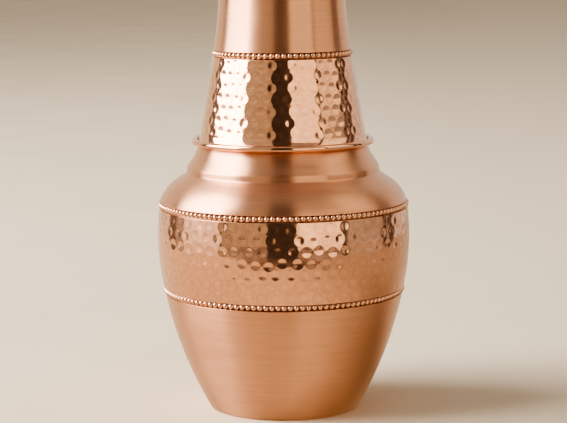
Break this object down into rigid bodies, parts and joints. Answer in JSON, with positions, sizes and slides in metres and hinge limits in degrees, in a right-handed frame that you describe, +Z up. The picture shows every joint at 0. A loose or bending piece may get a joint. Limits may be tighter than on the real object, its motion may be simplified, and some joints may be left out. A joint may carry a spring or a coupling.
{
  "type": "copper water jug",
  "caption": "Round-bellied copper bedside water jug with two hammered bands, beaded seams and a drinking tumbler that sits upside down over its neck as the lid.",
  "frame": {"origin": "centre of the base, on the surface the jug stands on", "axes": "+Z up along the axis of the jug and the tumbler; the jug is round, so X and Y are interchangeable"},
  "size_m": [0.126, 0.126, 0.232],
  "materials": {
    "brushed_copper": "satin, brushed round the axis",
    "hammered_copper": "hammered and polished",
    "beaded_copper": "polished pearls, darker between them",
    "plain_copper": "plain spun, dull polish",
    "wire_copper": "drawn wire, closed inside a rolled lip",
    "silver_braze": "cleaned silver braze"
  },
  "bodies": {
    "jug": {"lower_bowl": "brushed_copper", "belly_band": "hammered_copper", "shoulder": "brushed_copper", "neck": "plain_copper", "mouth_wire": "wire_copper", "lower_bead_wire": "beaded_copper", "upper_bead_wire": "beaded_copper", "lower_seam_braze": "silver_braze", "upper_seam_braze": "silver_braze", "neck_seam_braze": "silver_braze"},
    "tumbler": {"tumbler_skirt": "hammered_copper", "tumbler_cup": "brushed_copper", "tumbler_bead_wire": "beaded_copper", "tumbler_lip_wire": "wire_copper", "tumbler_seam_braze": "silver_braze"}
  },
  "joints": [
    {"name": "tumbler_lift", "type": "slide", "parent": "jug", "child": "tumbler", "axis": [0, 0, 1], "range_m": [0, 0.12]}
  ]
}
